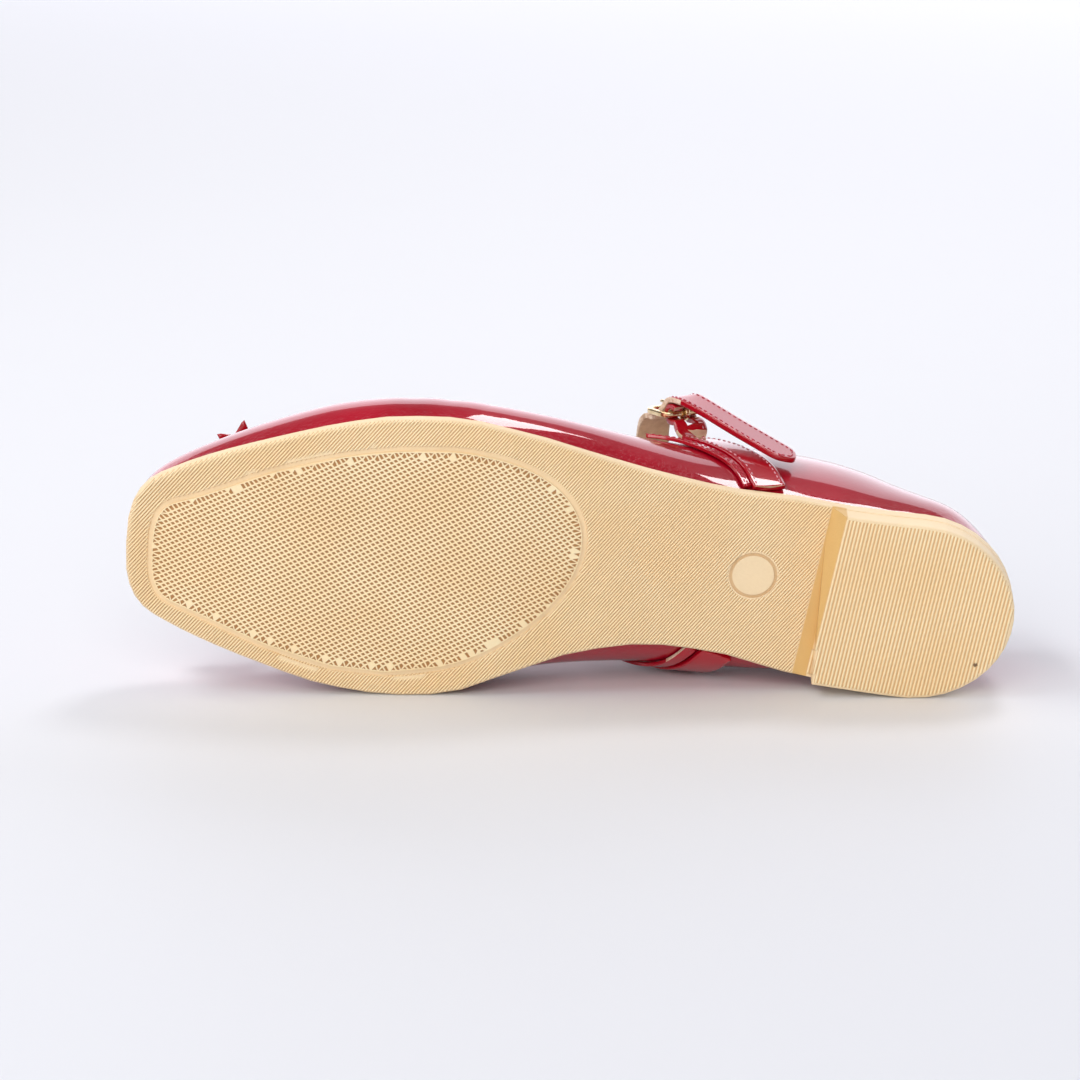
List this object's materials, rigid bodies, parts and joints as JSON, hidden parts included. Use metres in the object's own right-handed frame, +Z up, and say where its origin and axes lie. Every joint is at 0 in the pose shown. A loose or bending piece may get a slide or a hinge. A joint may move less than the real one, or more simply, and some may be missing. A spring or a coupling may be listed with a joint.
{
  "type": "shoe",
  "caption": "Red patent square-toe mary jane flat, a left shoe lying on its inner side, with ribbed beige outsole, buckled strap and bow",
  "frame": {"origin": "centre of the footprint of the whole shoe, on the floor it lies on", "axes": "X runs from the toe back to the heel, Y from the sole to the opening, Z up through the outer side"},
  "size_m": [0.2488, 0.069, 0.0843],
  "materials": {
    "outsole": "matte moulded",
    "insole": "smooth lining",
    "patent": "glossy patent",
    "buckle": "pale polished"
  },
  "bodies": {
    "root": {"outsole": "outsole", "insole": "insole", "upper": "patent", "edge_strip_lateral": "patent", "edge_strip_medial": "patent", "strap_short": "patent", "strap_long": "patent", "buckle_frame": "buckle", "buckle_prong": "buckle", "bow_ribbon": "patent", "bow_knot": "patent"}
  },
  "joints": []
}
